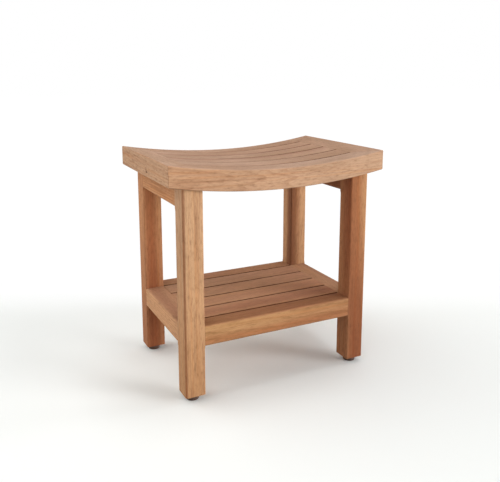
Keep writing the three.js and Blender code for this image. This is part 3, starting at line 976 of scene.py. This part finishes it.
def joinery(name, pale, dark):
    """Plain hard wood of the hidden splines and dowels."""
    n = Nodes(bpy.data.materials.new(name))
    place = n.geometry("Position")
    figure = n.noise(place, (260.0, 260.0, 40.0), 3.0, 0.6)
    fibre = n.noise(place, (1600.0, 1600.0, 120.0), 2.0, 0.6)
    color = n.mix(n.ramp(figure, 0.4, 0.7, 0.0, 0.8), pale, dark)
    color = n.mix(n.ramp(fibre, 0.5, 0.75, 0.0, 0.35), color, dark)
    gloss = n.ramp(fibre, 0.3, 0.7, 0.5, 0.65)
    normal = n.bump(0.4, 0.1 * MM, fibre)
    return n.principled({"Base Color": color, "Roughness": gloss, "Normal": normal})


def plastic(name, colour, edge_shade_and_highlight):
    """Moulded plastic, scuffed to the worn colour in patches."""
    n = Nodes(bpy.data.materials.new(name))
    place = n.geometry("Position")
    grit = n.noise(place, (1800.0, 1800.0, 1800.0), 3.0, 0.6)
    scuff = n.noise(place, (160.0, 160.0, 420.0), 4.0, 0.7)
    color = n.mix(n.ramp(scuff, 0.5, 0.75, 0.0, 0.5), colour, edge_shade_and_highlight)
    gloss = n.ramp(scuff, 0.3, 0.8, 0.42, 0.68)
    normal = n.bump(0.35, 0.08 * MM, grit)
    return n.principled(
        {"Base Color": color, "Roughness": gloss, "Normal": normal, "Specular IOR Level": 0.4}
    )


def metal(name, colour, tarnish, roughness):
    """Turned metal, stained to the tarnish colour in patches."""
    n = Nodes(bpy.data.materials.new(name))
    place = n.geometry("Position")
    brushed = n.noise(place, (300.0, 300.0, 5000.0), 3.0, 0.6)
    stain = n.noise(place, (220.0, 220.0, 220.0), 4.0, 0.6)
    color = n.mix(n.ramp(stain, 0.45, 0.75, 0.0, 0.6), colour, tarnish)
    gloss = n.ramp(brushed, 0.25, 0.75, roughness - 0.08, roughness + 0.1)
    normal = n.bump(0.2, 0.03 * MM, brushed)
    return n.principled(
        {"Base Color": color, "Roughness": gloss, "Normal": normal, "Metallic": 1.0}
    )


# ------------------------------------------------------------------ assembly

LOOKS = {
    "seat_rail_front": {
        "pith": (70, 6),
        "taper": 0.024,
        "lean": 0.0,
        "heart_and_shade": (60, 0, 12),
        "knot_and_shade": (26, -24, 15, 4.0, 0.15, 7),
        "high": (1.10, 1.18, 1.28),
    },
    "seat_end_left": {"knot_and_shade": (-24, -24, -6, 2.6, 1.0, 3.0), "tint": (1.06, 1.10, 1.13)},
    "seat_slat_1": {"tint": (0.99, 0.98, 0.97), "low": (1.05, 1.11, 1.18)},
    "seat_slat_2": {"tint": (1.03, 1.02, 1.02), "low": (1.03, 1.09, 1.16)},
    "seat_slat_3": {"tint": (0.97, 0.95, 0.93), "low": (1.05, 1.12, 1.20)},
    "seat_slat_4": {"tint": (1.02, 1.0, 0.99), "low": (1.02, 1.07, 1.13)},
    # Painted shade and light on the legs: the low tints darken each leg towards the floor, the high
    # tint of the front-left leg pales it towards the seat, and the left tints darken the
    # left-facing faces towards the top.
    "leg_front_left": {
        "heart_and_shade": (-20, -20, 3.5),
        "low": (0.91, 0.88, 0.83),
        "high": (1.11, 1.18, 1.27),
        "left": (0.91, 0.91, 0.94),
    },
    # The heart_and_shade streaks of this leg darken its left face, partly redder wood and partly
    # painted shade under the seat.
    "leg_front_right": {
        "heart_and_shade": (-20, -17, 25),
        "heart_and_shade_low": (8, -20, 24),
        "tint": (1.0, 0.93, 0.85),
        "low": (0.72, 0.615, 0.60),
        "left": (0.88, 0.77, 0.75),
    },
    "leg_back_left": {
        "heart_and_shade": (-5, -20, 14),
        "tint": (1.10, 0.99, 0.91),
        "low": (0.66, 0.55, 0.53),
        "left": (0.96, 0.91, 0.90),
    },
    # Painted shadow: here the heart_and_shade and knot_and_shade entries make a long dark streak
    # down the near corner, the shadow that the front-right leg casts on this leg.
    "leg_back_right": {
        "heart_and_shade": (-20, -20, 19),
        "knot_and_shade": (220, -20, -20, 24, 0.55, 60),
        "tint": (1.13, 1.12, 1.12),
        "low": (0.82, 0.79, 0.76),
    },
    # Painted shade: the dark tint of this rail and its heart_and_shade streak on the inner face
    # stand for the shade under the seat.
    "side_rail_right": {"heart_and_shade": (-20, 0, 20), "tint": (0.75, 0.62, 0.55)},
    "side_rail_left": {"tint": (1.15, 1.03, 0.98)},
    # Painted light and shadow: along the shelf rail and slats the low tints lighten the left end
    # and the high tints darken the right end, where the seat's shadow falls.
    "shelf_rail_front": {
        "pith": (80, -20),
        "taper": 0.03,
        "low": (1.08, 1.08, 1.0),
        "high": (0.90, 0.82, 0.77),
    },
    "shelf_slat_1": {
        "tint": (1.08, 1.04, 1.03),
        "low": (1.08, 1.1, 1.1),
        "high": (0.98, 0.93, 0.94),
    },
    "shelf_slat_2": {
        "tint": (1.13, 1.13, 1.13),
        "low": (1.08, 1.1, 1.1),
        "high": (1.02, 0.97, 0.99),
    },
    "shelf_slat_3": {
        "tint": (1.03, 1.05, 1.09),
        "low": (1.06, 1.07, 1.06),
        "high": (1.0, 0.95, 0.96),
    },
    "shelf_slat_4": {
        "tint": (1.02, 1.05, 1.1),
        "low": (1.06, 1.07, 1.06),
        "high": (0.94, 0.88, 0.9),
    },
    "shelf_rail_back": {"tint": (1.06, 1.10, 1.13)},
}

teak_seat = wood(
    "teak_seat",
    pale=rgb(165, 128, 99),
    dark=rgb(122, 80, 54),
    heart_and_shade=rgb(149, 102, 73),
    painted_top=rgb(180, 148, 128),
    lines=0.30,
    mottle=0.15,
)
teak_rail = wood(
    "teak_rail",
    pale=rgb(163, 123, 87),
    dark=rgb(118, 79, 50),
    heart_and_shade=rgb(145, 96, 65),
    painted_top=rgb(158, 106, 82),
    lines=0.40,
)
teak_shelf = wood(
    "teak_shelf",
    pale=rgb(177, 133, 97),
    dark=rgb(124, 80, 55),
    heart_and_shade=rgb(153, 101, 73),
    painted_top=rgb(172, 130, 103),
    lines=0.35,
    mottle=0.13,
)
teak_leg = wood(
    "teak_leg",
    pale=rgb(170, 130, 95),
    dark=rgb(120, 78, 52),
    heart_and_shade=rgb(143, 95, 65),
    painted_top=rgb(148, 115, 93),
    lines=0.22,
    mottle=0.14,
)
hardwood = joinery("hardwood", rgb(214, 178, 130), rgb(170, 126, 84))
pad_plastic = plastic("pad_plastic", rgb(66, 45, 33), rgb(98, 72, 54))
stud_steel = metal("stud_steel", rgb(178, 180, 182), rgb(120, 118, 114), 0.34)
insert_brass = metal("insert_brass", rgb(190, 158, 84), rgb(130, 100, 52), 0.36)


def build():
    for end, sy in ENDS:
        seat_rail(f"seat_rail_{end}", sy, teak_seat)
        shelf_rail(f"shelf_rail_{end}", sy, teak_rail)
    for side, sx in SIDES:
        seat_end(f"seat_end_{side}", sx, teak_seat)
        shelf_end(f"shelf_end_{side}", sx, teak_shelf)
        side_rail(f"side_rail_{side}", sx, teak_rail)
    for strip in SLATS:
        seat_slat(strip, teak_seat)
        shelf_slat(strip, teak_shelf)
    for corner, sx, sy in CORNERS:
        leg(corner, sx, sy, teak_leg)
        foot(corner, sx, sy, pad_plastic, stud_steel)


def dress_hidden_nodes():
    for corner, _, _ in CORNERS:
        for prefix, material, slot_name in (
            ("corner_spline", hardwood, "wood_joinery"),
            ("leg_dowel", hardwood, "wood_joinery"),
            ("foot_insert", insert_brass, "brass"),
        ):
            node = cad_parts[f"{prefix}_{corner}"]
            node.data.materials.clear()
            node.data.materials.append(material)


build()
dress_hidden_nodes()

# ------------------------------------------------------------------ studio

# Painted light: behind the stool the floor fades into a plain white glow, which also hides the
# stool's shadows there, between these distances from the origin.
FLOOR_FADE_TOWARDS = (0.4355, 0.9002, 0.0)
FLOOR_FADE_START = 0.19
FLOOR_FADE_END = 0.44
FLOOR_HALF = 12.0
FLOOR_SQUARES = 8
FLOOR_COLOR = (0.858, 0.882, 0.876, 1.0)
WHITE = (1.0, 1.0, 1.0, 1.0)
FLOOR_GLOW_STRENGTH = 1.02
LIGHT_DISTANCE = 3.0

# Name, azimuth, elevation and width in degrees, irradiance.
SOFTBOXES = (
    ("front_right", 46.0, 9.5, 28.0, 3.5),
    ("front_left", 320.0, 30.0, 24.0, 0.45),
    ("overhead", 105.0, 80.0, 22.0, 0.66),
    ("right", 82.0, 10.6, 21.0, 0.9),
)


def make_floor():
    bm = bmesh.new()
    count = FLOOR_SQUARES
    bmesh.ops.create_grid(bm, x_segments=count, y_segments=count, size=FLOOR_HALF)
    floor = object_from(bm, bpy.data.meshes.new("floor"))
    n = Nodes(bpy.data.materials.new("pale_floor"))
    back = n.vector("DOT_PRODUCT", n.geometry("Position"), FLOOR_FADE_TOWARDS)
    glow_share = n.ramp(back, FLOOR_FADE_START, FLOOR_FADE_END)
    shader = n.add(
        "ShaderNodeBsdfPrincipled",
        {"Base Color": FLOOR_COLOR, "Roughness": 0.9, "Specular IOR Level": 0.1},
    )
    # The floor's white glow, painted light from a surface that is no lamp.
    white = n.add("ShaderNodeEmission", {"Color": WHITE, "Strength": FLOOR_GLOW_STRENGTH})
    mixed = n.add("ShaderNodeMixShader", {0: glow_share, 1: shader.outputs[0], 2: white.outputs[0]})
    n.add("ShaderNodeOutputMaterial", {"Surface": mixed.outputs[0]})
    floor.data.materials.append(n.owner)


def direction(azimuth, elevation):
    """Unit vector to a light; azimuth 0 is the front of the stool (-Y), 90 its right (+X)."""
    az, el = math.radians(azimuth), math.radians(elevation)
    return Vector((math.sin(az) * math.cos(el), -math.cos(az) * math.cos(el), math.sin(el)))


def softbox(name, azimuth, elevation, width, irradiance):
    """Distant round softbox, width degrees across."""
    data = bpy.data.lights.new(name, "SUN")
    data.angle = math.radians(width)
    data.energy = irradiance
    light = bpy.data.objects.new(name, data)
    light.location = direction(azimuth, elevation) * LIGHT_DISTANCE
    light.rotation_euler = (-direction(azimuth, elevation)).to_track_quat("-Z", "Y").to_euler()
    bpy.context.scene.collection.objects.link(light)


def make_world(base, azimuth, elevation, sharpness, strength, colour):
    """White studio: a dim base and one broad warm glow, seen by the camera as plain white."""
    n = Nodes(bpy.data.worlds.new("studio"))
    coordinate = n.add("ShaderNodeTexCoord").outputs["Generated"]
    aim = n.vector("DOT_PRODUCT", coordinate, direction(azimuth, elevation))
    falloff = n.math("MULTIPLY", n.math("SUBTRACT", aim, 1.0), sharpness)
    glow = n.math("MULTIPLY", n.math("EXPONENT", falloff), strength)
    glow = n.add("ShaderNodeBackground", {"Color": colour, "Strength": glow})
    dim = n.add("ShaderNodeBackground", {"Color": WHITE, "Strength": base})
    light = n.add("ShaderNodeAddShader", {0: glow.outputs[0], 1: dim.outputs[0]})
    white = n.add("ShaderNodeBackground", {"Color": WHITE, "Strength": 1.0})
    path = n.add("ShaderNodeLightPath").outputs["Is Camera Ray"]
    mixed = n.add("ShaderNodeMixShader", {0: path, 1: light.outputs[0], 2: white.outputs[0]})
    n.add("ShaderNodeOutputWorld", {"Surface": mixed.outputs[0]})
    bpy.context.scene.world = n.owner


make_floor()
make_world(
    base=0.27,
    azimuth=240.0,
    elevation=20.0,
    sharpness=4.0,
    strength=2.35,
    colour=(1.0, 0.975, 0.93, 1.0),
)
for box in SOFTBOXES:
    softbox(*box)

bpy.context.scene.view_settings.view_transform = "Standard"
bpy.context.scene.view_settings.look = "None"
